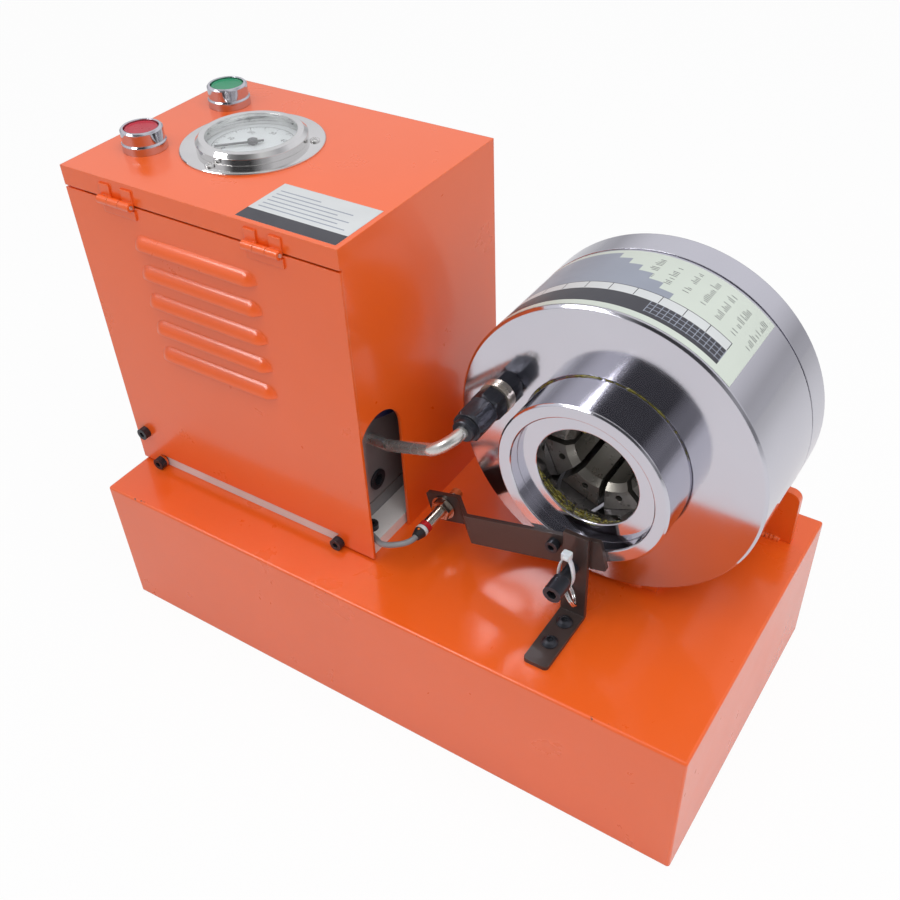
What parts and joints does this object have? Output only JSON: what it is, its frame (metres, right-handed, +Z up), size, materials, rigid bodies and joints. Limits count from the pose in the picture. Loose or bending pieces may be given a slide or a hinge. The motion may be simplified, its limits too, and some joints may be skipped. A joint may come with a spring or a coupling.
{
  "type": "hose crimping machine",
  "caption": "Bench hose crimping machine: folded-steel cabinet with hydraulic power unit, round chromed crimping head with radial jaws, stop post, gauge and push buttons on one base box.",
  "frame": {"origin": "centre of the base box's underside, on the bench", "axes": "+X along the base from the cabinet to the crimping head, +Y to the back, along the head's axis, +Z up"},
  "size_m": [0.46, 0.23, 0.36],
  "materials": {
    "orange_paint": "gloss orange powder coat over folded steel sheet",
    "white_paint": "satin off-white paint",
    "navy_paint": "gloss navy paint on the motor",
    "machined_block": "milled aluminium block and pump casing",
    "tank_steel": "dark grey painted sheet",
    "strainer_mesh": "woven wire strainer",
    "black_oxide": "black oxide screws and fittings",
    "black_paint": "satin black paint on bent strip",
    "bright_steel": "drawn steel tube, pins and rings",
    "spring_steel": "spring steel",
    "seal_metal": "bonded seal washer",
    "seal_rubber": "black nitrile seal",
    "chrome_plate": "mirror chrome plating",
    "stainless": "polished stainless pressing",
    "gauge_window": "clear gauge glass",
    "dial_card": "pale dial",
    "pointer_black": "matt black pointer",
    "red_cap": "red push button",
    "green_cap": "green push button",
    "black_plastic": "moulded black plastic",
    "tie_nylon": "natural nylon tie",
    "nickel_plate": "nickel plated brass barrel and nuts",
    "cable_sheath": "grey cable sheath",
    "jaw_steel": "oiled hardened tool steel"
  },
  "bodies": {
    "frame": {"base_box": "orange_paint", "cabinet_shell": "orange_paint", "hinge_fixed_leaves": "orange_paint", "hinge_pins": "bright_steel", "head_cradle": "orange_paint", "plinth_tray": "white_paint", "button_head_screws": "black_oxide", "manifold_block": "machined_block", "block_fittings": "black_oxide", "motor_body": "navy_paint", "motor_fan_cover": "navy_paint", "gear_pump": "machined_block", "suction_strainer": "strainer_mesh", "oil_tank": "tank_steel", "pressure_tube": "bright_steel", "seal_washer": "seal_metal", "head_adapter": "black_oxide", "union_nut": "black_oxide", "gauge_line": "bright_steel", "cylinder_body": "chrome_plate", "rod_seal": "seal_rubber", "rear_cap": "chrome_plate", "cap_screws": "black_oxide", "return_springs": "spring_steel", "gauge_case": "stainless", "gauge_bezel": "stainless", "gauge_glass": "gauge_window", "gauge_dial": "dial_card", "gauge_screws": "stainless", "button_bezels": "chrome_plate", "contact_blocks": "black_plastic", "contactor": "black_plastic", "cable_gland": "black_plastic", "stop_post": "black_paint", "die_tool": "black_oxide", "zip_tie": "tie_nylon", "split_ring": "bright_steel", "sensor_cable": "cable_sheath"},
    "door": {"cabinet_door": "orange_paint", "door_screws": "black_oxide", "hinge_door_leaves": "orange_paint"},
    "piston": {"piston": "chrome_plate", "piston_seal": "seal_rubber", "nose_insert": "chrome_plate", "sensor_bar": "black_paint", "bar_screw": "black_oxide", "sensor_barrel": "nickel_plate", "sensor_nuts": "nickel_plate", "sensor_tail": "black_plastic"},
    "start_button": {"start_button": "green_cap"},
    "stop_button": {"stop_button": "red_cap"},
    "pointer": {"gauge_pointer": "pointer_black"},
    "jaw_1": {"jaw_1": "jaw_steel"},
    "jaw_2": {"jaw_2": "jaw_steel"},
    "jaw_3": {"jaw_3": "jaw_steel"},
    "jaw_4": {"jaw_4": "jaw_steel"},
    "jaw_5": {"jaw_5": "jaw_steel"},
    "jaw_6": {"jaw_6": "jaw_steel"},
    "jaw_7": {"jaw_7": "jaw_steel"},
    "jaw_8": {"jaw_8": "jaw_steel"}
  },
  "joints": [
    {"name": "door_hinge", "type": "hinge", "parent": "frame", "child": "door", "pos_m": [-0.122, -0.079, 0.333], "axis": [-1, 0, 0], "range_deg": [0, 100]},
    {"name": "piston_slide", "type": "slide", "parent": "frame", "child": "piston", "axis": [0, 1, 0], "range_m": [0, 0.024], "stiffness_N_per_m": 9000, "springref_m": -0.004, "deforming": ["return_springs", "sensor_cable"]},
    {"name": "jaw_1_slide", "type": "slide", "parent": "frame", "child": "jaw_1", "axis": [-0.316, 0.9397, -0.1309], "range_m": [0, 0.01277]},
    {"name": "jaw_2_slide", "type": "slide", "parent": "frame", "child": "jaw_2", "axis": [-0.1309, 0.9397, -0.316], "range_m": [0, 0.01277]},
    {"name": "jaw_3_slide", "type": "slide", "parent": "frame", "child": "jaw_3", "axis": [0.1309, 0.9397, -0.316], "range_m": [0, 0.01277]},
    {"name": "jaw_4_slide", "type": "slide", "parent": "frame", "child": "jaw_4", "axis": [0.316, 0.9397, -0.1309], "range_m": [0, 0.01277]},
    {"name": "jaw_5_slide", "type": "slide", "parent": "frame", "child": "jaw_5", "axis": [0.316, 0.9397, 0.1309], "range_m": [0, 0.01277]},
    {"name": "jaw_6_slide", "type": "slide", "parent": "frame", "child": "jaw_6", "axis": [0.1309, 0.9397, 0.316], "range_m": [0, 0.01277]},
    {"name": "jaw_7_slide", "type": "slide", "parent": "frame", "child": "jaw_7", "axis": [-0.1309, 0.9397, 0.316], "range_m": [0, 0.01277]},
    {"name": "jaw_8_slide", "type": "slide", "parent": "frame", "child": "jaw_8", "axis": [-0.316, 0.9397, 0.1309], "range_m": [0, 0.01277]},
    {"name": "start_press", "type": "slide", "parent": "frame", "child": "start_button", "axis": [0, 0, -1], "range_m": [0, 0.003], "stiffness_N_per_m": 400, "springref_m": -0.002},
    {"name": "stop_press", "type": "slide", "parent": "frame", "child": "stop_button", "axis": [0, 0, -1], "range_m": [0, 0.003], "stiffness_N_per_m": 400, "springref_m": -0.002},
    {"name": "pointer_turn", "type": "hinge", "parent": "frame", "child": "pointer", "pos_m": [-0.143, 0.005, 0.346], "axis": [0, 0, -1], "range_deg": [0, 270], "stiffness_Nm_per_rad": 0.0005, "springref_deg": -5.73}
  ],
  "couplings": [
    {"joint": "jaw_1_slide", "follows": "piston_slide", "ratio": 0.53209},
    {"joint": "jaw_2_slide", "follows": "piston_slide", "ratio": 0.53209},
    {"joint": "jaw_3_slide", "follows": "piston_slide", "ratio": 0.53209},
    {"joint": "jaw_4_slide", "follows": "piston_slide", "ratio": 0.53209},
    {"joint": "jaw_5_slide", "follows": "piston_slide", "ratio": 0.53209},
    {"joint": "jaw_6_slide", "follows": "piston_slide", "ratio": 0.53209},
    {"joint": "jaw_7_slide", "follows": "piston_slide", "ratio": 0.53209},
    {"joint": "jaw_8_slide", "follows": "piston_slide", "ratio": 0.53209}
  ]
}
